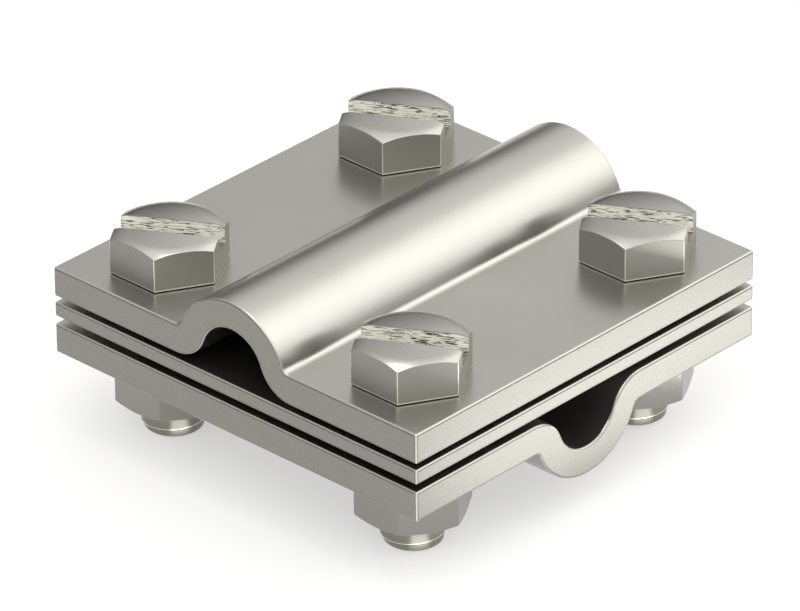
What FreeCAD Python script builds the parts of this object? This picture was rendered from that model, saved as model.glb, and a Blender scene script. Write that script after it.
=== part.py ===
import FreeCAD, Part
import math
import os
from FreeCAD import Vector

# A cross connector for two round conductors, in millimetres. Three square plates lie one over
# another on four slotted hexagon bolts. The origin is under the middle, level with the bolt ends
# that the clamp stands on. X runs along the lower channel, Y along the upper one.

# Plates
plate_side = 60.0
clamp_plate_thickness = 4.0
intermediate_thickness = 2.0
gap_over_intermediate = 0.8
gap_under_intermediate = 1.0
edge_rounding = 0.3

# Half-round channel pressed into each clamp plate
channel_inner_radius = 5.0
channel_outer_radius = 9.0
channel_height = 6.4
crown_thickness = 3.8
foot_radius = 1.0

# Bolts: M8, one near each corner of the plates
thread_diameter = 8.0
bolt_edge_distance = 10.0
bolt_hole_clearance = 0.5
bolt_length = 22.4
bolt_end_chamfer = 1.3
under_head_radius = 0.35

# Hexagon head with a driver slot
head_across_flats = 13.0
head_height = 5.3
head_edge_radius = 0.18
turned_face_ratio = 0.95
turned_slope_degrees = 30.0
turned_blend_radius = 3.0
washer_face_height = 0.2
washer_face_diameter = 11.6
slot_width = 3.2
slot_depth = 2.5
slot_direction_degrees = 30.0

# Hexagon nuts
nut_across_flats = 12.8
nut_height = 6.5
nut_edge_radius = 0.3
nut_turned_slope_degrees = 25.0
nut_bore_clearance = 0.05
nut_mouth_chamfer = 0.35

# Levels, from the bolt ends up
top_plate_top = bolt_length
top_plate_underside = top_plate_top - clamp_plate_thickness
intermediate_top = top_plate_underside - gap_over_intermediate
intermediate_underside = intermediate_top - intermediate_thickness
bottom_plate_top = intermediate_underside - gap_under_intermediate
bottom_plate_underside = bottom_plate_top - clamp_plate_thickness
nut_underside = bottom_plate_underside - nut_height

half_side = plate_side / 2
half_spacing = half_side - bolt_edge_distance
thread_radius = thread_diameter / 2
bolt_places = {
    "front_left": Vector(-half_spacing, -half_spacing, 0),
    "front_right": Vector(half_spacing, -half_spacing, 0),
    "back_left": Vector(-half_spacing, half_spacing, 0),
    "back_right": Vector(half_spacing, half_spacing, 0),
}
up = Vector(0, 0, 1)
on_surface = 1e-4
cutter_overrun = 1.0
trim_radius_ratio = 0.6


def arc_about(centre, start, end):
    """The shorter arc from start to end about centre, all in the XZ plane."""
    radius = (start - centre).Length
    halfway = (start - centre) + (end - centre)
    middle = centre + halfway.normalize() * radius
    return Part.Arc(start, middle, end).toShape()


def across_middle(point):
    return Vector(-point.x, point.y, point.z)


def solid_of(shape):
    """The one solid in a boolean result, with leftover seams on its faces merged."""
    return shape.removeSplitter().Solids[0]


def channel_plate_profile():
    """Section of the pressed plate across its channel, with the flat face at height 0.

    The press bends the plate sharply at the channel's foot on the outside, so on the inside the
    bend has that radius plus the plate's thickness. The crown comes out slightly thinner.
    """
    bend_radius = foot_radius + clamp_plate_thickness
    outer_centre = Vector(0, 0, channel_height - channel_outer_radius)
    inner_centre = Vector(0, 0, channel_height - crown_thickness - channel_inner_radius)

    foot_height = foot_radius
    foot_reach = channel_outer_radius + foot_radius
    foot_across = math.sqrt(foot_reach ** 2 - (foot_height - outer_centre.z) ** 2)
    foot_centre = Vector(foot_across, 0, foot_height)
    foot_top = outer_centre + (foot_centre - outer_centre) * (channel_outer_radius / foot_reach)
    foot_end = Vector(foot_across, 0, 0)

    bend_height = bend_radius - clamp_plate_thickness
    bend_reach = channel_inner_radius + bend_radius
    bend_across = math.sqrt(bend_reach ** 2 - (bend_height - inner_centre.z) ** 2)
    bend_centre = Vector(bend_across, 0, bend_height)
    bend_top = inner_centre + (bend_centre - inner_centre) * (channel_inner_radius / bend_reach)
    bend_end = Vector(bend_across, 0, -clamp_plate_thickness)

    outer_corner = Vector(half_side, 0, 0)
    inner_corner = Vector(half_side, 0, -clamp_plate_thickness)
    edges = [
        Part.makeLine(across_middle(outer_corner), across_middle(foot_end)),
        arc_about(across_middle(foot_centre), across_middle(foot_end), across_middle(foot_top)),
        arc_about(outer_centre, across_middle(foot_top), foot_top),
        arc_about(foot_centre, foot_top, foot_end),
        Part.makeLine(foot_end, outer_corner),
        Part.makeLine(outer_corner, inner_corner),
        Part.makeLine(inner_corner, bend_end),
        arc_about(bend_centre, bend_end, bend_top),
        arc_about(inner_centre, bend_top, across_middle(bend_top)),
        arc_about(across_middle(bend_centre), across_middle(bend_top), across_middle(bend_end)),
        Part.makeLine(across_middle(bend_end), across_middle(inner_corner)),
        Part.makeLine(across_middle(inner_corner), across_middle(outer_corner)),
    ]
    return Part.Face(Part.Wire(edges))


def on_rim(edge):
    """True for an edge that lies in one of the plate's four cut sides."""
    box = edge.BoundBox
    reach = half_side - on_surface
    return (box.XMin > reach or box.XMax < -reach or box.YMin > reach or box.YMax < -reach)


def with_rounded_rim(plate):
    return plate.makeFillet(edge_rounding, [edge for edge in plate.Edges if on_rim(edge)])


def with_bolt_holes(plate):
    hole_radius = thread_radius + bolt_hole_clearance
    box = plate.BoundBox
    drill_length = box.ZLength + 2 * cutter_overrun
    for place in bolt_places.values():
        start = Vector(place.x, place.y, box.ZMin - cutter_overrun)
        plate = plate.cut(Part.makeCylinder(hole_radius, drill_length, start, up))
    return solid_of(plate)


def channel_plate():
    """The pressed plate, its channel upwards along Y and its flat upper face at height 0."""
    profile = channel_plate_profile()
    profile.translate(Vector(0, -half_side, 0))
    plate = profile.extrude(Vector(0, plate_side, 0))
    return with_bolt_holes(with_rounded_rim(plate))


def make_top_plate():
    plate = channel_plate()
    plate.translate(Vector(0, 0, top_plate_top))
    return plate


def make_bottom_plate():
    """The same pressing turned over and given a quarter turn, its channel down along X."""
    plate = channel_plate()
    plate.rotate(Vector(), Vector(0, 1, 0), 180)
    plate.rotate(Vector(), up, 90)
    plate.translate(Vector(0, 0, bottom_plate_underside))
    return plate


def make_intermediate_plate():
    corner = Vector(-half_side, -half_side, intermediate_underside)
    plate = Part.makeBox(plate_side, plate_side, intermediate_thickness, corner)
    return with_bolt_holes(with_rounded_rim(plate))


def hexagon_prism(across_flats, bottom, top):
    """A hexagon prism about the Z axis, with a corner towards +X."""
    corner_radius = across_flats / math.sqrt(3)
    corners = []
    for step in range(7):
        angle = math.radians(60 * step)
        corners.append(Vector(corner_radius * math.cos(angle), corner_radius * math.sin(angle), bottom))
    return Part.Face(Part.makePolygon(corners)).extrude(Vector(0, 0, top - bottom))


def turned(points):
    """The solid swept by a closed outline in the XZ plane turned about the Z axis."""
    outline = Part.makePolygon([Vector(x, 0, z) for x, z in points + points[:1]])
    return Part.Face(outline).revolve(Vector(), up, 360)


def head_envelope(bottom):
    """The turned shape that trims the hexagon head: a flat top that rounds into a cone."""
    slope = math.radians(turned_slope_degrees)
    face_radius = turned_face_ratio * head_across_flats / 2
    flat_radius = face_radius - turned_blend_radius * math.tan(slope / 2)
    blend_centre = Vector(flat_radius, 0, head_height - turned_blend_radius)
    blend_start = Vector(flat_radius, 0, head_height)
    blend_end = blend_centre + Vector(math.sin(slope), 0, math.cos(slope)) * turned_blend_radius
    rim_radius = head_across_flats * trim_radius_ratio
    rim = Vector(rim_radius, 0, blend_end.z - (rim_radius - blend_end.x) * math.tan(slope))
    edges = [
        Part.makeLine(Vector(0, 0, bottom), Vector(0, 0, head_height)),
        Part.makeLine(Vector(0, 0, head_height), blend_start),
        arc_about(blend_centre, blend_start, blend_end),
        Part.makeLine(blend_end, rim),
        Part.makeLine(rim, Vector(rim_radius, 0, bottom)),
        Part.makeLine(Vector(rim_radius, 0, bottom), Vector(0, 0, bottom)),
    ]
    return Part.Face(Part.Wire(edges)).revolve(Vector(), up, 360)


def bolt_head():
    """Hexagon head standing on its washer face, with the driver slot sawn across two flats."""
    hexagon = hexagon_prism(head_across_flats, washer_face_height, head_height)
    top_edges = [edge for edge in hexagon.Edges if edge.BoundBox.ZMin > head_height - on_surface]
    soft_edges = [edge for edge in hexagon.Edges if not any(edge.isSame(top) for top in top_edges)]
    hexagon = hexagon.makeFillet(head_edge_radius, soft_edges)
    head = hexagon.common(head_envelope(washer_face_height))
    middle_of_head = head_height / 2
    head = head.fuse(Part.makeCylinder(washer_face_diameter / 2, middle_of_head))
    saw_reach = head_across_flats
    slot = Part.makeBox(
        2 * saw_reach, slot_width, slot_depth + cutter_overrun,
        Vector(-saw_reach, -slot_width / 2, head_height - slot_depth))
    slot.rotate(Vector(), up, slot_direction_degrees)
    return head.cut(slot)


def bolt_shank():
    """Shank at the thread's outer diameter, rounded into the head and chamfered at its end."""
    end_radius = thread_radius - bolt_end_chamfer
    fillet_centre = Vector(thread_radius + under_head_radius, 0, -under_head_radius)
    fillet_start = Vector(thread_radius + under_head_radius, 0, 0)
    fillet_end = Vector(thread_radius, 0, -under_head_radius)
    chamfer_start = Vector(thread_radius, 0, bolt_end_chamfer - bolt_length)
    end_rim = Vector(end_radius, 0, -bolt_length)
    inside_head = (head_height - slot_depth) / 2
    edges = [
        Part.makeLine(Vector(0, 0, inside_head), Vector(fillet_start.x, 0, inside_head)),
        Part.makeLine(Vector(fillet_start.x, 0, inside_head), fillet_start),
        arc_about(fillet_centre, fillet_start, fillet_end),
        Part.makeLine(fillet_end, chamfer_start),
        Part.makeLine(chamfer_start, end_rim),
        Part.makeLine(end_rim, Vector(0, 0, -bolt_length)),
        Part.makeLine(Vector(0, 0, -bolt_length), Vector(0, 0, inside_head)),
    ]
    return Part.Face(Part.Wire(edges)).revolve(Vector(), up, 360)


def make_bolt(place):
    bolt = solid_of(bolt_head().fuse(bolt_shank()))
    bolt.translate(place + Vector(0, 0, top_plate_top))
    return bolt


def nut_envelope():
    """The turned shape that trims a nut's corners on both of its faces."""
    face_radius = turned_face_ratio * nut_across_flats / 2
    rim_radius = nut_across_flats * trim_radius_ratio
    drop = (rim_radius - face_radius) * math.tan(math.radians(nut_turned_slope_degrees))
    return turned([
        (0, 0), (face_radius, 0), (rim_radius, drop),
        (rim_radius, nut_height - drop), (face_radius, nut_height), (0, nut_height)])


def nut_bore():
    """The threaded hole at its widest, with a chamfered mouth on both faces."""
    bore_radius = thread_radius + nut_bore_clearance
    mouth_radius = bore_radius + nut_mouth_chamfer
    return turned([
        (0, 0), (mouth_radius, 0), (bore_radius, nut_mouth_chamfer),
        (bore_radius, nut_height - nut_mouth_chamfer), (mouth_radius, nut_height), (0, nut_height)])


def make_nut(place):
    hexagon = hexagon_prism(nut_across_flats, 0, nut_height)
    upright = [edge for edge in hexagon.Edges if edge.BoundBox.ZLength > nut_height - on_surface]
    hexagon = hexagon.makeFillet(nut_edge_radius, upright)
    nut = solid_of(hexagon.common(nut_envelope()).cut(nut_bore()))
    nut.translate(place + Vector(0, 0, nut_underside))
    return nut


def write_node(name, shape):
    shape.exportStep("parts/" + name + ".step")
    print(name, "solids", len(shape.Solids), "valid", shape.isValid(), "volume", round(shape.Volume, 2))


os.makedirs("parts", exist_ok=True)
write_node("top_plate", make_top_plate())
write_node("intermediate_plate", make_intermediate_plate())
write_node("bottom_plate", make_bottom_plate())
for corner, place in bolt_places.items():
    write_node("bolt_" + corner, make_bolt(place))
    write_node("nut_" + corner, make_nut(place))
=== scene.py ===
import bmesh
import bpy
import math
from mathutils import Matrix, Vector


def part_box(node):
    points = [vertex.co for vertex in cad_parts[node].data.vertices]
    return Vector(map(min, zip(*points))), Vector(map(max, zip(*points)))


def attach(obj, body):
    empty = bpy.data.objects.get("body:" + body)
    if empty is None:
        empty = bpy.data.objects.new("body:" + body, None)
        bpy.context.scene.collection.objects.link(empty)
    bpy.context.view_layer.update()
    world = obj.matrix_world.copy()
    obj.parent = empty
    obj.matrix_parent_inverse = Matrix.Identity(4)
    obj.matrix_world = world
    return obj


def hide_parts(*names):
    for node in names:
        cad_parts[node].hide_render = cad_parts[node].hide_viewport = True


# The looks of a cross connector for two round conductors: three square stainless steel plates on
# four slotted bolts. Lengths are in metres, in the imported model's frame.
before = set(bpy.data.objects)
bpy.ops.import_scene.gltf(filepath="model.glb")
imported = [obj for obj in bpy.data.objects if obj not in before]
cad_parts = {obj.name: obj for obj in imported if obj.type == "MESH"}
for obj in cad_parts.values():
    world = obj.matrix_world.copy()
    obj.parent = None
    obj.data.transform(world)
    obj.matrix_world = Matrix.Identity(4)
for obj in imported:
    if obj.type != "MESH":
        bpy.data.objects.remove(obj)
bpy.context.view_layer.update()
mm = 0.001

# Pressed clamp plates
# Two alike pieces of 4 mm stainless steel, sheared square and pressed with a half-round channel.
# The upper plate's channel stands up along Y, the lower plate is turned over with its channel along X.
plate_half_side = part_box("top_plate")[1].x
# The upright corners are lightened between these two depths. The lighter tone is partly wear and partly
# a painted highlight.
corner_rub_start = 0.18 * mm
corner_rub_full = 0.12 * mm
# The thin dark line beside the sheared sides is painted shade. It stands in for the dark that the
# edge's rounding mirrors.
burr_depth = 0.018 * mm
burr_fade = 0.0036 * mm
shear_start = 0.0018 * mm
shear_full = 0.00036 * mm
# Real roll marks and pickled grain are about 0.05 mm wide and shear grit about 0.1 mm. They are drawn
# coarser, so that they show.
roll_mark_width = 0.35 * mm
roll_mark_length = 14 * mm
pickling_grain = 0.22 * mm
pickling_cloud = 9 * mm
shear_grit = 0.28 * mm


def colour(hex_code):
    """An sRGB hex colour as the linear colour that shader sockets take."""
    values = [int(hex_code[start:start + 2], 16) / 255 for start in (1, 3, 5)]
    return [v / 12.92 if v <= 0.04045 else ((v + 0.055) / 1.055) ** 2.4 for v in values] + [1.0]


def add_node(tree, kind, settings=None, sockets=None):
    """Adds one node with its settings, and fills its sockets with values or other nodes' outputs."""
    node = tree.nodes.new(kind)
    for name, value in (settings or {}).items():
        setattr(node, name, value)
    for name, value in (sockets or {}).items():
        if isinstance(value, bpy.types.NodeSocket):
            tree.links.new(value, node.inputs[name])
        else:
            node.inputs[name].default_value = value
    return node


def empty_material(name):
    """A new material that has no nodes yet."""
    material = bpy.data.materials.new(name)
    material.use_nodes = True
    material.node_tree.nodes.clear()
    return material


def pickled_stainless(name, rolled_along):
    """Rolled and pickled stainless plate: a soft satin face with faint roll marks that blurs what it
    mirrors, upright corners worn bright and given a painted highlight, a thin dark line of painted
    shade beside the sheared sides that stands in for the dark their edges mirror, and sides that
    look matt and sparkle with fine grit."""
    material = empty_material(name)
    tree = material.node_tree
    place = add_node(tree, "ShaderNodeTexCoord").outputs["Object"]

    roll_scale = [1 / roll_mark_width] * 3
    roll_scale[rolled_along] = 1 / roll_mark_length
    stretched = add_node(tree, "ShaderNodeMapping", sockets={"Vector": place, "Scale": roll_scale})
    roll_marks = add_node(tree, "ShaderNodeTexNoise", sockets={
        "Vector": stretched.outputs["Vector"], "Scale": 1.0, "Detail": 3.0})
    grain = add_node(tree, "ShaderNodeTexNoise", sockets={
        "Vector": place, "Scale": 1 / pickling_grain, "Detail": 2.0})
    clouds = add_node(tree, "ShaderNodeTexNoise", sockets={
        "Vector": place, "Scale": 1 / pickling_cloud, "Detail": 4.0, "Roughness": 0.6})
    grit = add_node(tree, "ShaderNodeTexNoise", sockets={
        "Vector": place, "Scale": 1 / shear_grit, "Detail": 5.0, "Roughness": 0.7})

    axes = add_node(tree, "ShaderNodeSeparateXYZ", sockets={"Vector": place})
    across = add_node(tree, "ShaderNodeMath", {"operation": "ABSOLUTE"}, {0: axes.outputs["X"]})
    along = add_node(tree, "ShaderNodeMath", {"operation": "ABSOLUTE"}, {0: axes.outputs["Y"]})
    reach = add_node(tree, "ShaderNodeMath", {"operation": "MAXIMUM"}, {
        0: across.outputs[0], 1: along.outputs[0]}).outputs[0]
    corner_reach = add_node(tree, "ShaderNodeMath", {"operation": "MINIMUM"}, {
        0: across.outputs[0], 1: along.outputs[0]}).outputs[0]
    at_corner = add_node(tree, "ShaderNodeMapRange", sockets={
        "Value": corner_reach, "From Min": plate_half_side - corner_rub_start,
        "From Max": plate_half_side - corner_rub_full}).outputs[0]
    # Where the painted shade line lies: just inside each sheared side, below its rounding.
    burr_side = add_node(tree, "ShaderNodeMix", {"data_type": "FLOAT"}, {
        "Factor": at_corner, "A": reach, "B": across.outputs[0]}).outputs["Result"]
    at_burr = add_node(tree, "ShaderNodeMapRange", sockets={
        "Value": burr_side, "From Min": plate_half_side - burr_depth,
        "From Max": plate_half_side - burr_depth + burr_fade}).outputs[0]
    sheared = add_node(tree, "ShaderNodeMapRange", sockets={
        "Value": reach, "From Min": plate_half_side - shear_start,
        "From Max": plate_half_side - shear_full}).outputs[0]

    face = add_node(tree, "ShaderNodeMix", {"data_type": "RGBA"}, {
        "Factor": clouds.outputs["Fac"], "A": colour("#A7A5A0"), "B": colour("#B3B1AC")})
    # The upright corners' lighter tone is partly wear and partly a painted highlight.
    rubbed_face = add_node(tree, "ShaderNodeMix", {"data_type": "RGBA"}, {
        "Factor": at_corner, "A": face.outputs["Result"], "B": colour("#DEDCD4")})
    # Painted shade: a thin dark line beside the sheared sides.
    burr_face = add_node(tree, "ShaderNodeMix", {"data_type": "RGBA"}, {
        "Factor": at_burr, "A": rubbed_face.outputs["Result"], "B": colour("#6C6A64")})
    sparkle = add_node(tree, "ShaderNodeMapRange", sockets={
        "Value": grit.outputs["Fac"], "From Min": 0.35, "From Max": 0.65})
    sheared_face = add_node(tree, "ShaderNodeMix", {"data_type": "RGBA"}, {
        "Factor": sparkle.outputs[0], "A": colour("#979590"), "B": colour("#A19F98")})
    tone = add_node(tree, "ShaderNodeMix", {"data_type": "RGBA"}, {
        "Factor": sheared, "A": burr_face.outputs["Result"], "B": sheared_face.outputs["Result"]})

    face_gloss = add_node(tree, "ShaderNodeMapRange", sockets={
        "Value": clouds.outputs["Fac"], "From Min": 0.3, "From Max": 0.7,
        "To Min": 0.28, "To Max": 0.32})
    gloss = add_node(tree, "ShaderNodeMix", {"data_type": "FLOAT"}, {
        "Factor": sheared, "A": face_gloss.outputs[0], "B": 0.62})

    marks = add_node(tree, "ShaderNodeBump", sockets={
        "Height": roll_marks.outputs["Fac"], "Strength": 0.12, "Distance": 0.01 * mm})
    pickled = add_node(tree, "ShaderNodeBump", sockets={
        "Height": grain.outputs["Fac"], "Strength": 0.3, "Distance": 0.01 * mm,
        "Normal": marks.outputs["Normal"]})
    torn_depth = add_node(tree, "ShaderNodeMath", {"operation": "MULTIPLY"}, {
        0: grit.outputs["Fac"], 1: sheared})
    torn = add_node(tree, "ShaderNodeBump", sockets={
        "Height": torn_depth.outputs[0], "Strength": 0.6, "Distance": 0.02 * mm,
        "Normal": pickled.outputs["Normal"]})
    steel = add_node(tree, "ShaderNodeBsdfPrincipled", sockets={
        "Base Color": tone.outputs["Result"], "Metallic": 1.0,
        "Roughness": gloss.outputs["Result"], "Normal": torn.outputs["Normal"]})
    add_node(tree, "ShaderNodeOutputMaterial", sockets={"Surface": steel.outputs["BSDF"]})
    return material


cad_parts["top_plate"].material_slots[0].material = pickled_stainless(
    "pickled stainless steel, rolled along Y", 1)
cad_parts["bottom_plate"].material_slots[0].material = pickled_stainless(
    "pickled stainless steel, rolled along X", 0)

# Intermediate plate
# A flat square of 2 mm stainless sheet that keeps the two conductors apart. It is sheared from the
# same pickled stock as the clamp plates.
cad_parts["intermediate_plate"].material_slots[0].material = pickled_stainless(
    "pickled stainless steel sheet", 0)

# Slotted hexagon bolts
# Four M8 bolts of stainless steel. The head is cold-headed, its top turned to a cone and its driver
# slot sawn across two flats. The rolled thread ends inside the nut; below it the chamfered end is
# smooth, but for the line of the thread's first turn.
head_across_flats = 13.0 * mm
head_height = 5.3 * mm
head_edge_radius = 0.12 * mm
head_foot_radius = 0.08 * mm
# Height of the strip above the head's foot that is worn bright and carries a painted highlight.
rubbed_line = 0.1 * mm
turned_face_radius = 6.175 * mm
turned_slope = math.radians(30)
turned_blend_radius = 3.0 * mm
turned_flat_radius = turned_face_radius - turned_blend_radius * math.tan(turned_slope / 2)
turned_cone_radius = turned_flat_radius + turned_blend_radius * math.sin(turned_slope)
turned_ring_shares = (0.3, 0.65, 1.0)
crown_slope = math.radians(9)
turned_edge = 0.1 * mm
washer_face_height = 0.12 * mm
washer_face_radius = 5.8 * mm
slot_width = 3.2 * mm
slot_depth = 2.5 * mm
slot_edge = 0.07 * mm
slot_direction = math.radians(30)
thread_radius = 4.0 * mm
thread_pitch = 1.25 * mm
thread_depth = 0.61 * thread_pitch
thread_root_share = 0.25
thread_flank_share = 0.625
thread_lead_in = 4.4 * mm
under_head_radius = 0.35 * mm
plain_neck = 1.2 * mm
end_chamfer = 1.3 * mm
first_thread_height = 1.45 * mm
first_thread_middle = math.radians(-47)
first_thread_fade = math.radians(40)
first_thread_lip = 0.1 * mm
first_thread_notch = 0.4 * mm
first_thread_undercut = 0.04 * mm
first_thread_taper = 0.2 * mm
point_radius = 3.8 * mm
shoulder_radius = 3.66 * mm
shoulder_height = 0.45 * mm
end_ring_radius = 0.3 * thread_radius
corner_steps = 4
flat_steps = 12
turned_steps = 8
edge_steps = 4
steps_per_turn = 12
sharp_angle = math.radians(40)
# Points nearer than the first of these are one point, and nearer than the second lie on a surface.
same_place = 0.0001 * mm
close_by = 0.01 * mm
# A flat's normal turns by fewer degrees than the first of these, an upright face's normal rises by
# less than the second, and a level face's by more than the third.
flat_spread = 5
upright_normal = 0.3
level_normal = 0.5

# The bolt's finishes, in the order of its materials. One of them also carries a painted highlight, and
# one is painted shade.
turned, forged, rubbed, sawn, rolled, burred = range(6)

bolt_low, bolt_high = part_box("bolt_front_left")
under_head = bolt_high.z - head_height
head_base = under_head + washer_face_height
slot_floor = bolt_high.z - slot_depth


def hexagon_outline(across_flats, corner_radius):
    """Points round a hexagon with a corner towards +X, each corner a small arc."""
    corner_reach = (across_flats / 2 - corner_radius) / math.cos(math.radians(30))
    arcs = []
    for corner in range(6):
        middle = math.radians(60 * corner)
        centre = Vector((math.cos(middle), math.sin(middle))) * corner_reach
        turns = [middle + math.radians(60 * step / corner_steps - 30)
                 for step in range(corner_steps + 1)]
        arcs.append([centre + Vector((math.cos(t), math.sin(t))) * corner_radius for t in turns])
    points = []
    for arc, following in zip(arcs, arcs[1:] + arcs[:1]):
        points += arc
        points += [arc[-1].lerp(following[0], step / flat_steps) for step in range(1, flat_steps)]
    return points


def limited(value):
    """The value, held between 0 and 1."""
    return min(max(value, 0), 1)


def eased(share):
    """A share from 0 to 1 that starts and ends gently."""
    return share * share * (3 - 2 * share)


def turned_height(distance):
    """Height of the head's turned top at a distance from the axis: flat, then rounding into a cone."""
    if distance <= turned_flat_radius:
        return bolt_high.z
    on_blend = min(distance, turned_cone_radius) - turned_flat_radius
    drop = turned_blend_radius - math.sqrt(turned_blend_radius ** 2 - on_blend ** 2)
    return bolt_high.z - drop - max(distance - turned_cone_radius, 0) * math.tan(turned_slope)


def rounded_corner(before, corner, after):
    """Points of a small rounding that starts at before, bends near corner and ends at after."""
    points = []
    for step in range(edge_steps + 1):
        share = step / edge_steps
        points.append(before * (1 - share) ** 2 + corner * 2 * share * (1 - share) + after * share ** 2)
    return points


def thread_surface(angle, height):
    """Distance of the thread's surface from the axis, for a right-hand thread of rounded V section."""
    across_turn = abs((height / thread_pitch - angle / (2 * math.pi)) % 1.0 - 0.5) * 2
    flank = limited((across_turn - thread_root_share) / thread_flank_share)
    run_out_low = limited((height - thread_lead_in) / thread_pitch)
    run_out_high = limited((under_head - plain_neck - height) / thread_pitch)
    depth = thread_depth * min(run_out_low, run_out_high)
    return thread_radius - depth * (1 - eased(flank))


def head_rings(outline):
    """Rings of points from the middle of the head's top, over its edge and down to its underside."""
    directions = [point.normalized() for point in outline]
    reaches = [point.length for point in outline]
    rings = []
    for share in turned_ring_shares:
        radius = turned_flat_radius * share
        rings.append([(d.x * radius, d.y * radius, bolt_high.z) for d in directions])
    for step in range(1, turned_steps):
        ring = []
        for d, reach in zip(directions, reaches):
            on_cone = reach - turned_edge - turned_flat_radius
            distance = turned_flat_radius + on_cone * step / turned_steps
            ring.append((d.x * distance, d.y * distance, turned_height(distance)))
        rings.append(ring)
    sections = []
    for d, reach in zip(directions, reaches):
        top_corner = Vector((reach, turned_height(reach)))
        on_top = Vector((reach - turned_edge, turned_height(reach - turned_edge)))
        on_side = top_corner - Vector((0, turned_edge))
        low_corner = Vector((reach, head_base))
        off_side = low_corner + Vector((0, head_foot_radius))
        on_base = low_corner - Vector((head_foot_radius, 0))
        line_top = off_side + Vector((0, rubbed_line))
        section = rounded_corner(on_top, top_corner, on_side)
        section += [on_side.lerp(line_top, 0.5), line_top]
        section += rounded_corner(off_side, low_corner, on_base)
        section.append(Vector((washer_face_radius, head_base)))
        section.append(Vector((washer_face_radius, under_head)))
        section.append(Vector((thread_radius + under_head_radius, under_head)))
        sections.append(section)
    for points in zip(*sections):
        rings.append([(d.x * p.x, d.y * p.x, p.y) for d, p in zip(directions, points)])
    return rings


def shank_rings(outline):
    """Rings of points from under the head, down the plain neck and along the thread to its end."""
    directions = [point.normalized() for point in outline]
    angles = [math.atan2(d.y, d.x) for d in directions]
    rings = []
    for step in range(1, edge_steps + 1):
        turn = math.radians(90 * step / edge_steps)
        radius = thread_radius + under_head_radius * (1 - math.sin(turn))
        height = under_head - under_head_radius * (1 - math.cos(turn))
        rings.append([(d.x * radius, d.y * radius, height) for d in directions])
    height = under_head - plain_neck
    while height > thread_lead_in:
        rings.append([(d.x * thread_surface(a, height), d.y * thread_surface(a, height), height)
                      for d, a in zip(directions, angles)])
        height -= thread_pitch / steps_per_turn
    return rings


def first_thread_run(angle):
    """How far the first thread has climbed at an angle, and how deep it is cut, from 0 to 1."""
    round_axis = (angle - first_thread_middle + math.pi) % (2 * math.pi) - math.pi
    share = min((math.pi - abs(round_axis)) / first_thread_fade, 1)
    depth = eased(share)
    return thread_pitch * round_axis / (2 * math.pi) * depth, depth


def point_rings(outline):
    """Rings of points round the bolt's end: the first thread's lip and notch, then a tapered point."""
    directions = [point.normalized() for point in outline]
    end_radius = thread_radius - end_chamfer
    shoulder = Vector((shoulder_radius, shoulder_height))
    rings = []
    profile = ((thread_radius, first_thread_lip, 0), (thread_radius, 0, 0),
               (thread_radius, -first_thread_undercut, first_thread_notch),
               (point_radius, -first_thread_taper, 0))
    for radius, above, cut in profile:
        ring = []
        for d in directions:
            climb, depth = first_thread_run(math.atan2(d.y, d.x))
            reach = radius - cut * depth
            ring.append((d.x * reach, d.y * reach, bolt_low.z + first_thread_height + climb + above))
        rings.append(ring)
    end_corner = Vector((0.5 * (shoulder_radius + end_radius), 0))
    end = rounded_corner(shoulder, end_corner, Vector((end_radius, 0)))
    end.append(Vector((end_ring_radius, 0)))
    rings += [[(d.x * p.x, d.y * p.x, bolt_low.z + p.y) for d in directions] for p in end]
    return rings


def roll_off_top(data):
    """Lets the shading of the turned top roll off evenly from its middle to the cone, and returns the
    vertices that aren't on the top."""
    normals = [Vector((0, 0, 0))] * len(data.loops)
    on_top = set()
    for polygon in data.polygons:
        if polygon.material_index != turned:
            continue
        for loop in polygon.loop_indices:
            place = data.vertices[data.loops[loop].vertex_index].co
            distance = place.xy.length
            if abs(place.z - turned_height(distance)) > close_by:
                continue
            share = limited((distance - turned_flat_radius) / (turned_cone_radius - turned_flat_radius))
            crown = crown_slope * min(distance / turned_flat_radius, 1)
            tilt = crown * (1 - share) + turned_slope * share
            outward = place.xy.normalized() if distance else Vector((0, 0))
            normals[loop] = Vector((*(outward * math.sin(tilt)), math.cos(tilt)))
            on_top.add(data.loops[loop].vertex_index)
    data.normals_split_custom_set(normals)
    return [v.index for v in data.vertices if v.index not in on_top]


def skin(mesh, rings, material_index):
    """Faces between each ring of points and the next one, and the first and last ring's vertices."""
    made = [[mesh.verts.new(point) for point in ring] for ring in rings]
    for outer, inner in zip(made, made[1:]):
        for here, there in zip(range(-1, len(outer) - 1), range(len(outer))):
            face = mesh.faces.new((outer[here], inner[here], inner[there], outer[there]))
            face.material_index = material_index
    return made[0], made[-1]


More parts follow.
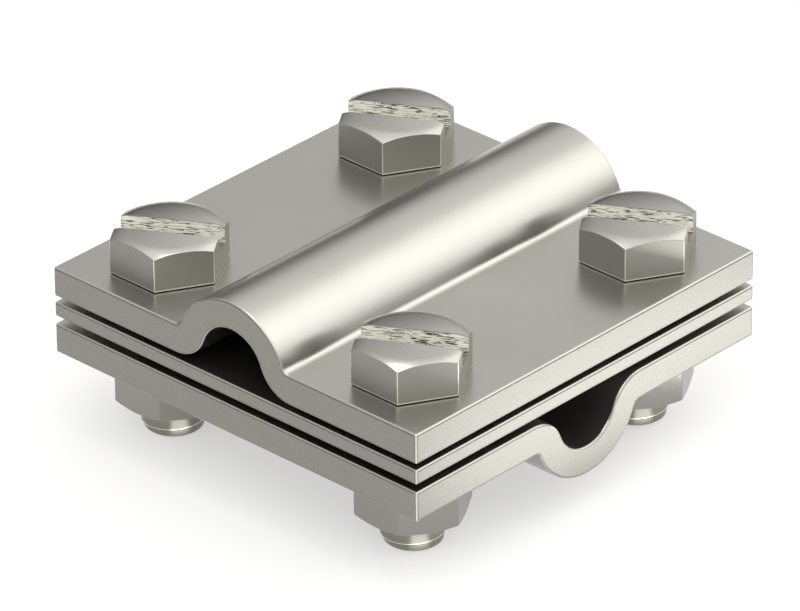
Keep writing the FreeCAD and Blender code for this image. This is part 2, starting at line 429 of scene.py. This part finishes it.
def saw_slot(mesh):
    """Cuts the driver slot across the head and breaks its two long edges."""
    along = Vector((math.cos(slot_direction), math.sin(slot_direction), 0))
    across = Vector((-along.y, along.x, 0))
    half = slot_width / 2
    for side in (-1, 1):
        for distance in (half, half + slot_edge):
            bmesh.ops.bisect_plane(
                mesh, geom=mesh.verts[:] + mesh.edges[:] + mesh.faces[:], dist=0.1 * same_place,
                plane_co=across * side * distance, plane_no=across * side)
    low_faces = [f for f in mesh.faces if abs(f.calc_center_median() @ across) < half
                 and f.calc_center_median().z > head_base]
    geometry = set(low_faces)
    for face in low_faces:
        geometry.update(face.verts)
        geometry.update(face.edges)
    bmesh.ops.bisect_plane(
        mesh, geom=list(geometry), dist=0.1 * same_place,
        plane_co=(0, 0, slot_floor), plane_no=(0, 0, 1))
    sawn_out = [f for f in mesh.faces if abs(f.calc_center_median() @ across) < half
                and f.calc_center_median().z > slot_floor]
    bmesh.ops.delete(mesh, geom=sawn_out, context="FACES")
    # The slot's top edges get a dark steel: a line of painted shade along the slot.
    for face in mesh.faces:
        beside = abs(face.calc_center_median() @ across) - half
        if 0 < beside < slot_edge and face.normal.z > level_normal:
            face.material_index = burred
    for side in (-1, 1):
        wall = [v for v in mesh.verts if abs(v.co @ across - side * half) < same_place
                and v.co.z > slot_floor - same_place]
        wall.sort(key=lambda v: math.atan2(v.co.z - slot_floor + same_place, v.co @ along))
        for v in wall:
            if v.co.z > slot_floor + slot_edge:
                v.co.z -= slot_edge
        mesh.faces.new(wall if side < 0 else wall[::-1]).material_index = sawn
    floor_verts = [v for v in mesh.verts if abs(v.co.z - slot_floor) < same_place
                   and abs(v.co @ across) < half + same_place
                   and abs(v.co @ along) > head_across_flats / 2 - close_by]
    floor_verts.sort(key=lambda v: math.atan2(v.co @ across, v.co @ along))
    mesh.faces.new(floor_verts).material_index = sawn


def bolt_mesh():
    """The whole bolt round the Z axis, at its own height in the frame."""
    outline = hexagon_outline(head_across_flats, head_edge_radius)
    mesh = bmesh.new()
    top_ring, _ = skin(mesh, head_rings(outline), turned)
    middle = mesh.verts.new((0, 0, bolt_high.z))
    for here, there in zip(range(-1, len(top_ring) - 1), range(len(top_ring))):
        mesh.faces.new((middle, top_ring[here], top_ring[there]))
    for face in mesh.faces:
        face.normal_update()
        off_flat = abs(math.degrees(math.atan2(face.normal.y, face.normal.x)) % 60 - 30)
        low = face.calc_center_median().z < head_base + head_foot_radius + rubbed_line
        # Corners, the strip above the foot and the underside get the worn steel, which also carries a
        # painted highlight.
        if abs(face.normal.z) < upright_normal:
            face.material_index = rubbed if off_flat > flat_spread or low else forged
        elif face.normal.z * face.calc_center_median().z < 0:
            face.material_index = rubbed
    saw_slot(mesh)
    shank = shank_rings(outline)
    point = point_rings(outline)
    skin(mesh, shank + point[:1], rolled)
    # The first thread's lip gets the worn steel and its painted highlight.
    skin(mesh, point[:2], rubbed)
    _, end_ring = skin(mesh, point[1:], rolled)
    mesh.faces.new(end_ring[::-1]).material_index = rolled
    bmesh.ops.remove_doubles(mesh, verts=mesh.verts, dist=same_place)
    bmesh.ops.recalc_face_normals(mesh, faces=mesh.faces)
    for face in mesh.faces:
        face.smooth = True
    for edge in mesh.edges:
        if len(edge.link_faces) == 2 and edge.calc_face_angle(0) > sharp_angle:
            edge.smooth = False
    data = bpy.data.meshes.new("slotted_bolt")
    mesh.to_mesh(data)
    mesh.free()
    return data


def tumbled_stainless(name, lightest, darkest, edge_tone, roughness):
    """Cold-formed stainless steel, tumbled clean: an even satin with faint drawn lines up its flats and
    edges lighter than the faces between them, partly from wear and partly as a painted highlight."""
    material = empty_material(name)
    tree = material.node_tree
    place = add_node(tree, "ShaderNodeTexCoord").outputs["Object"]
    # Real drawn lines are about 0.05 mm wide and are drawn coarser, so that they show.
    drawn_line = 0.25 * mm
    drawn_length = 6 * mm
    stretched = add_node(tree, "ShaderNodeMapping", sockets={
        "Vector": place, "Scale": (1 / drawn_line, 1 / drawn_line, 1 / drawn_length)})
    lines = add_node(tree, "ShaderNodeTexNoise", sockets={
        "Vector": stretched.outputs["Vector"], "Scale": 1.0, "Detail": 2.0})
    tumble_mark = 0.5 * mm
    dents = add_node(tree, "ShaderNodeTexNoise", sockets={
        "Vector": place, "Scale": 1 / tumble_mark, "Detail": 3.0, "Roughness": 0.6})
    edge_width = 0.1 * mm
    roughness_spread = 0.02
    softened = add_node(tree, "ShaderNodeBevel", {"samples": 4}, {"Radius": edge_width})
    shape = add_node(tree, "ShaderNodeNewGeometry")
    facing = add_node(tree, "ShaderNodeVectorMath", {"operation": "DOT_PRODUCT"}, {
        0: softened.outputs["Normal"], 1: shape.outputs["Normal"]})
    # The edges' lighter tone is partly wear and partly a painted highlight.
    at_edge = add_node(tree, "ShaderNodeMapRange", sockets={
        "Value": facing.outputs["Value"], "From Min": 0.999, "From Max": 0.93})
    face = add_node(tree, "ShaderNodeMix", {"data_type": "RGBA"}, {
        "Factor": dents.outputs["Fac"], "A": colour(darkest), "B": colour(lightest)})
    tone = add_node(tree, "ShaderNodeMix", {"data_type": "RGBA"}, {
        "Factor": at_edge.outputs[0], "A": face.outputs["Result"], "B": colour(edge_tone)})
    spread = add_node(tree, "ShaderNodeMapRange", sockets={
        "Value": dents.outputs["Fac"], "From Min": 0.3, "From Max": 0.7,
        "To Min": roughness - roughness_spread, "To Max": roughness + roughness_spread})
    drawn = add_node(tree, "ShaderNodeBump", sockets={
        "Height": lines.outputs["Fac"], "Strength": 0.12, "Distance": 0.01 * mm})
    dented = add_node(tree, "ShaderNodeBump", sockets={
        "Height": dents.outputs["Fac"], "Strength": 0.2, "Distance": 0.01 * mm,
        "Normal": drawn.outputs["Normal"]})
    steel = add_node(tree, "ShaderNodeBsdfPrincipled", sockets={
        "Base Color": tone.outputs["Result"], "Metallic": 1.0,
        "Roughness": spread.outputs[0], "Normal": dented.outputs["Normal"]})
    add_node(tree, "ShaderNodeOutputMaterial", sockets={"Surface": steel.outputs["BSDF"]})
    return material


def sawn_stainless():
    """The slot as the saw left it: bright fresh metal, torn into ragged streaks along the cut, with
    painted shade that makes its floor greyer than its walls."""
    material = empty_material("sawn stainless steel")
    tree = material.node_tree
    place = add_node(tree, "ShaderNodeTexCoord").outputs["Object"]
    which = add_node(tree, "ShaderNodeObjectInfo").outputs["Location"]
    # Each bolt's place shifts the streaks, so that no two slots are alike.
    apart = add_node(tree, "ShaderNodeVectorMath", {"operation": "MULTIPLY_ADD"}, {
        0: which, 1: (3.0, 3.0, 3.0), 2: place})
    along_slot = add_node(tree, "ShaderNodeMapping", {"vector_type": "TEXTURE"}, {
        "Vector": apart.outputs["Vector"], "Rotation": (0, 0, slot_direction)})
    streak_length = 1.6 * mm
    streak_width = 0.17 * mm
    stretched = add_node(tree, "ShaderNodeMapping", sockets={
        "Vector": along_slot.outputs["Vector"],
        "Scale": (1 / streak_length, 1 / streak_width, 1 / streak_width)})
    streaks = add_node(tree, "ShaderNodeTexNoise", sockets={
        "Vector": stretched.outputs["Vector"], "Scale": 1.0, "Detail": 4.0,
        "Roughness": 0.6, "Distortion": 0.8})
    torn = add_node(tree, "ShaderNodeMapRange", sockets={
        "Value": streaks.outputs["Fac"], "From Min": 0.40, "From Max": 0.49})
    wall_tone = add_node(tree, "ShaderNodeMix", {"data_type": "RGBA"}, {
        "Factor": torn.outputs[0], "A": colour("#5A5444"), "B": colour("#FFFEF8")})
    facing = add_node(tree, "ShaderNodeSeparateXYZ", sockets={
        "Vector": add_node(tree, "ShaderNodeNewGeometry").outputs["Normal"]})
    # Painted shade: the slot's floor, which faces up, is darker than its walls.
    on_floor = add_node(tree, "ShaderNodeMapRange", sockets={
        "Value": facing.outputs["Z"], "From Min": 0.5, "From Max": 0.8})
    floor_tone = add_node(tree, "ShaderNodeMix", {"data_type": "RGBA"}, {
        "Factor": torn.outputs[0], "A": colour("#605C51"), "B": colour("#8D897E")})
    tone = add_node(tree, "ShaderNodeMix", {"data_type": "RGBA"}, {
        "Factor": on_floor.outputs[0], "A": wall_tone.outputs["Result"],
        "B": floor_tone.outputs["Result"]})
    ridges = add_node(tree, "ShaderNodeBump", sockets={
        "Height": streaks.outputs["Fac"], "Strength": 0.8, "Distance": 0.12 * mm})
    steel = add_node(tree, "ShaderNodeBsdfPrincipled", sockets={
        "Base Color": tone.outputs["Result"], "Metallic": 1.0, "Roughness": 0.75,
        "Normal": ridges.outputs["Normal"]})
    add_node(tree, "ShaderNodeOutputMaterial", sockets={"Surface": steel.outputs["BSDF"]})
    return material


def rolled_stainless():
    """The shank as the rolls left it: pressed smooth, with fine lines round it that stretch what it
    mirrors up and down the shank."""
    material = empty_material("thread-rolled stainless steel")
    tree = material.node_tree
    place = add_node(tree, "ShaderNodeTexCoord").outputs["Object"]
    # Real roll lines are about 0.05 mm wide and are drawn coarser, so that they show.
    roll_line = 0.2 * mm
    roll_line_length = 4 * mm
    stretched = add_node(tree, "ShaderNodeMapping", sockets={
        "Vector": place, "Scale": (1 / roll_line_length, 1 / roll_line_length, 1 / roll_line)})
    lines = add_node(tree, "ShaderNodeTexNoise", sockets={
        "Vector": stretched.outputs["Vector"], "Scale": 1.0, "Detail": 2.0})
    tone = add_node(tree, "ShaderNodeMix", {"data_type": "RGBA"}, {
        "Factor": lines.outputs["Fac"], "A": colour("#86837B"), "B": colour("#97948A")})
    round_axis = add_node(tree, "ShaderNodeTangent", {"direction_type": "RADIAL", "axis": "Z"})
    ridged = add_node(tree, "ShaderNodeBump", sockets={
        "Height": lines.outputs["Fac"], "Strength": 0.1, "Distance": 0.005 * mm})
    steel = add_node(tree, "ShaderNodeBsdfPrincipled", sockets={
        "Base Color": tone.outputs["Result"], "Metallic": 1.0, "Roughness": 0.36,
        "Anisotropic": 0.8, "Anisotropic Rotation": 0.25, "Tangent": round_axis.outputs["Tangent"],
        "Normal": ridged.outputs["Normal"]})
    add_node(tree, "ShaderNodeOutputMaterial", sockets={"Surface": steel.outputs["BSDF"]})
    return material


def bolt_axis(corner):
    """Where the axis of a corner's bolt meets the floor."""
    low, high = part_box("bolt_" + corner)
    return Vector(((low.x + high.x) / 2, (low.y + high.y) / 2, 0))


turned_steel = tumbled_stainless(
    "turned stainless steel, bolt head",
    lightest="#ADABA6", darkest="#A3A19C", edge_tone="#B6B4AE", roughness=0.25)
forged_steel = tumbled_stainless(
    "forged stainless steel, bolt head",
    lightest="#A19F99", darkest="#979590", edge_tone="#B6B4AE", roughness=0.55)
# Edge steel that is worn bright, partly wear and partly a painted highlight.
rubbed_steel = tumbled_stainless(
    "rubbed stainless steel edge",
    lightest="#E8E6DF", darkest="#DEDCD5", edge_tone="#ECEAE4", roughness=0.4)
# Painted shade: a dark steel for the slot's top edges.
burred_steel = tumbled_stainless(
    "burred stainless steel edge",
    lightest="#6C6A64", darkest="#5E5C56", edge_tone="#6C6A64", roughness=0.5)
bolt_data = bolt_mesh()
off_top = roll_off_top(bolt_data)
off_top_group = "off the turned top"
for steel in (turned_steel, forged_steel, rubbed_steel, sawn_stainless(), rolled_stainless(),
              burred_steel):
    bolt_data.materials.append(steel)
corners = ("front_left", "front_right", "back_left", "back_right")
for corner in corners:
    bolt = bpy.data.objects.new("slotted_bolt_" + corner, bolt_data)
    bolt.location = bolt_axis(corner)
    bpy.context.scene.collection.objects.link(bolt)
    bolt.vertex_groups.new(name=off_top_group).add(off_top, 1.0, "REPLACE")
    evened = bolt.modifiers.new("flats stay flat", "WEIGHTED_NORMAL")
    evened.keep_sharp = True
    evened.vertex_group = off_top_group
    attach(bolt, "bolt_" + corner)
    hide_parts("bolt_" + corner)

# Hexagon nuts
# Four cold-formed M8 nuts of the same stainless steel, which hold the bolts under the lower plate.
# They were pickled after forming, and are smooth and a little darker than the bolt heads.
nut_steel = tumbled_stainless(
    "pickled stainless steel, nut",
    lightest="#93918D", darkest="#8D8B87", edge_tone="#B6B4AD", roughness=0.2)
for corner in corners:
    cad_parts["nut_" + corner].material_slots[0].material = nut_steel

# Floor
# A pale matt sheet that the clamp stands on with its four bolt ends. It is clear from beneath, so
# that the underside can be looked at, and its shadow is kept light by a share of plain white.
floor_half_side = 1500 * mm
clear_margin = 0.25 * mm
shadow_fill = 0.5
floor_data = bpy.data.meshes.new("floor")
floor_data.from_pydata(
    [(-floor_half_side, -floor_half_side, 0), (floor_half_side, -floor_half_side, 0),
     (floor_half_side, floor_half_side, 0), (-floor_half_side, floor_half_side, 0)],
    [], [(0, 1, 2, 3)])
floor = bpy.data.objects.new("floor", floor_data)
bpy.context.scene.collection.objects.link(floor)
paper = empty_material("pale matt paper")
tree = paper.node_tree
seen_from = add_node(tree, "ShaderNodeNewGeometry")
sheet = add_node(tree, "ShaderNodeBsdfDiffuse", sockets={"Color": colour("#EEEEEC")})
clear = add_node(tree, "ShaderNodeBsdfTransparent")
ray = add_node(tree, "ShaderNodeLightPath").outputs

# Light passes through the sheet where a bolt stands on it, though the camera sees the sheet there.
# Otherwise the bolt ends would be black from beneath. The sheet's four quarters are alike, so one
# bolt's place does for all.
one_quarter = add_node(tree, "ShaderNodeVectorMath", {"operation": "ABSOLUTE"}, {
    0: seen_from.outputs["Position"]})
off_bolt = add_node(tree, "ShaderNodeVectorMath", {"operation": "DISTANCE"}, {
    0: one_quarter.outputs["Vector"], 1: bolt_axis("back_right")})
under_bolt = add_node(tree, "ShaderNodeMath", {"operation": "LESS_THAN"}, {
    0: off_bolt.outputs["Value"], 1: thread_radius - end_chamfer + clear_margin})
mirrored = add_node(tree, "ShaderNodeMath", {"operation": "SUBTRACT"}, {
    0: under_bolt.outputs[0], 1: ray["Is Camera Ray"]})
see_through = add_node(tree, "ShaderNodeMath", {"operation": "MAXIMUM"}, {
    0: seen_from.outputs["Backfacing"], 1: mirrored.outputs[0]})

# The plain white is for the camera, for what steel mirrors and for what is seen through something
# clear. The sheet scatters none of it, and keeps the rest of the clamp's shadow.
looked_at = add_node(tree, "ShaderNodeMath", {"operation": "MAXIMUM"}, {
    0: ray["Is Camera Ray"], 1: ray["Is Glossy Ray"]})
looked_through = add_node(tree, "ShaderNodeMath", {"operation": "MAXIMUM"}, {
    0: looked_at.outputs[0], 1: ray["Is Transmission Ray"]})
fill_share = add_node(tree, "ShaderNodeMath", {"operation": "MULTIPLY"}, {
    0: looked_through.outputs[0], 1: shadow_fill})
fill = add_node(tree, "ShaderNodeEmission", sockets={"Color": colour("#FFFFFF"), "Strength": 1.0})
filled_sheet = add_node(tree, "ShaderNodeMixShader", sockets={
    "Fac": fill_share.outputs[0], 1: sheet.outputs[0], 2: fill.outputs[0]})
one_sided = add_node(tree, "ShaderNodeMixShader", sockets={
    "Fac": see_through.outputs[0], 1: filled_sheet.outputs[0], 2: clear.outputs[0]})
add_node(tree, "ShaderNodeOutputMaterial", sockets={"Surface": one_sided.outputs[0]})
floor_data.materials.append(paper)

# Studio light
# A dome that is brighter overhead than at the horizon, with soft round windows behind, on the right,
# in front and below, a dark card at the front left, and a shade at the left. A lamp hangs over the
# clamp's front, and small lamps that face up stand low at its right and at three bolt ends.
world = bpy.data.worlds.new("studio")
bpy.context.scene.world = world
world.use_nodes = True
tree = world.node_tree
tree.nodes.clear()
direction = add_node(tree, "ShaderNodeTexCoord").outputs["Generated"]


def towards(azimuth, elevation):
    """Unit vector to a place in the studio. Azimuth 0 is behind the clamp along +Y, 90 to its right."""
    turn = math.radians(azimuth)
    rise = math.radians(elevation)
    level = math.cos(rise)
    return Vector((math.sin(turn) * level, math.cos(turn) * level, math.sin(rise)))


def soft_window(azimuth, elevation, reach, brightness):
    """Brightness that a round window adds to the dome, falling off to nothing at its reach, in degrees.
    A negative one takes light away."""
    near = add_node(tree, "ShaderNodeVectorMath", {"operation": "DOT_PRODUCT"}, {
        0: direction, 1: towards(azimuth, elevation)})
    return add_node(tree, "ShaderNodeMapRange", sockets={
        "Value": near.outputs["Value"], "From Min": math.cos(math.radians(reach)), "From Max": 1.0,
        "To Min": 0.0, "To Max": brightness}).outputs[0]


height = add_node(tree, "ShaderNodeSeparateXYZ", sockets={"Vector": direction}).outputs["Z"]
dome = add_node(tree, "ShaderNodeMapRange", {"interpolation_type": "SMOOTHSTEP"}, {
    "Value": height, "From Min": -0.05, "From Max": 0.55, "To Min": 0.18, "To Max": 0.93}).outputs[0]
zenith = add_node(tree, "ShaderNodeMapRange", {"interpolation_type": "SMOOTHSTEP"}, {
    "Value": height, "From Min": 0.72, "From Max": 1.0, "To Min": 0.0, "To Max": 0.7}).outputs[0]
dark_card = soft_window(azimuth=222, elevation=-18, reach=50, brightness=0.85)
past_card = add_node(tree, "ShaderNodeMath", {"operation": "SUBTRACT"}, {0: 1.0, 1: dark_card})
brightness = add_node(tree, "ShaderNodeMath", {"operation": "MULTIPLY"}, {
    0: dome, 1: past_card.outputs[0]}).outputs[0]
window_behind = soft_window(azimuth=-5, elevation=24, reach=42, brightness=0.56)
shade_left = soft_window(azimuth=-71, elevation=7, reach=40, brightness=-0.45)
window_back_right = soft_window(azimuth=36, elevation=38, reach=36, brightness=1.6)
window_right = soft_window(azimuth=102, elevation=36, reach=26, brightness=1.3)
window_front = soft_window(azimuth=158, elevation=48, reach=34, brightness=1.6)
window_below = soft_window(azimuth=0, elevation=-90, reach=75, brightness=0.8)
for window in (zenith, window_behind, shade_left, window_back_right, window_right, window_front,
               window_below):
    brightness = add_node(tree, "ShaderNodeMath", sockets={0: brightness, 1: window}).outputs[0]
dimmest = 0.05
brightness = add_node(tree, "ShaderNodeMath", {"operation": "MAXIMUM"}, {
    0: brightness, 1: dimmest}).outputs[0]
sky = add_node(tree, "ShaderNodeBackground", sockets={
    "Color": colour("#FFFEFB"), "Strength": brightness})
add_node(tree, "ShaderNodeOutputWorld", sockets={"Surface": sky.outputs[0]})


def lamp(name, place, width, length, radiance, turn=(0, 0, 0)):
    """A rectangular lamp of an even radiance, which faces down unless it is turned. The camera itself
    doesn't see it."""
    data = bpy.data.lights.new(name, "AREA")
    data.shape = "RECTANGLE"
    data.size = width
    data.size_y = length
    data.energy = radiance * math.pi * width * length
    made = bpy.data.objects.new(name, data)
    made.location = place
    made.rotation_euler = turn
    made.visible_camera = False
    bpy.context.scene.collection.objects.link(made)


lamp("overhead", place=Vector((-6, -35, 174)) * mm, width=34 * mm, length=34 * mm, radiance=7.0)
lamp("low panel on the right", place=Vector((50.5, 22, 0.5)) * mm, width=18 * mm, length=75 * mm,
     radiance=5.9, turn=(math.pi, 0, 0))
foot_lamp_direction = math.radians(-31)
foot_lamp_distance = 7.0 * mm
foot_lamp_height = 0.05 * mm
off_axis = Vector((
    foot_lamp_distance * math.cos(foot_lamp_direction),
    foot_lamp_distance * math.sin(foot_lamp_direction),
    foot_lamp_height))
for corner in ("front_left", "front_right", "back_right"):
    lamp("foot lamp " + corner, place=bolt_axis(corner) + off_axis, width=4.4 * mm, length=5.0 * mm,
         radiance=3.0, turn=(math.pi, 0, foot_lamp_direction))

# Camera
# It looks down on the front corner through a long lens, as the photograph does. Its place and its
# angles were worked out from the edges of the plates in the photograph.
camera_azimuth = math.radians(43.407)
camera_elevation = math.radians(29.432)
camera_roll = math.radians(-0.565)
camera_distance = 967.6 * mm
camera_aim = Vector((1.463, -2.339, 17.416)) * mm
back = Vector((
    math.sin(camera_azimuth) * math.cos(camera_elevation),
    -math.cos(camera_azimuth) * math.cos(camera_elevation),
    math.sin(camera_elevation)))
level_right = Vector((math.cos(camera_azimuth), math.sin(camera_azimuth), 0))
level_up = back.cross(level_right)
right = level_right * math.cos(camera_roll) + level_up * math.sin(camera_roll)
up = level_up * math.cos(camera_roll) - level_right * math.sin(camera_roll)
camera_data = bpy.data.cameras.new("camera")
camera_data.sensor_width = 36
camera_data.lens = 359.88
camera_data.clip_end = 10
camera = bpy.data.objects.new("camera", camera_data)
turn = Matrix((right, up, back)).transposed()
camera.matrix_world = Matrix.Translation(camera_aim + back * camera_distance) @ turn.to_4x4()
bpy.context.scene.collection.objects.link(camera)
bpy.context.scene.camera = camera
bpy.context.scene.view_settings.view_transform = "Standard"
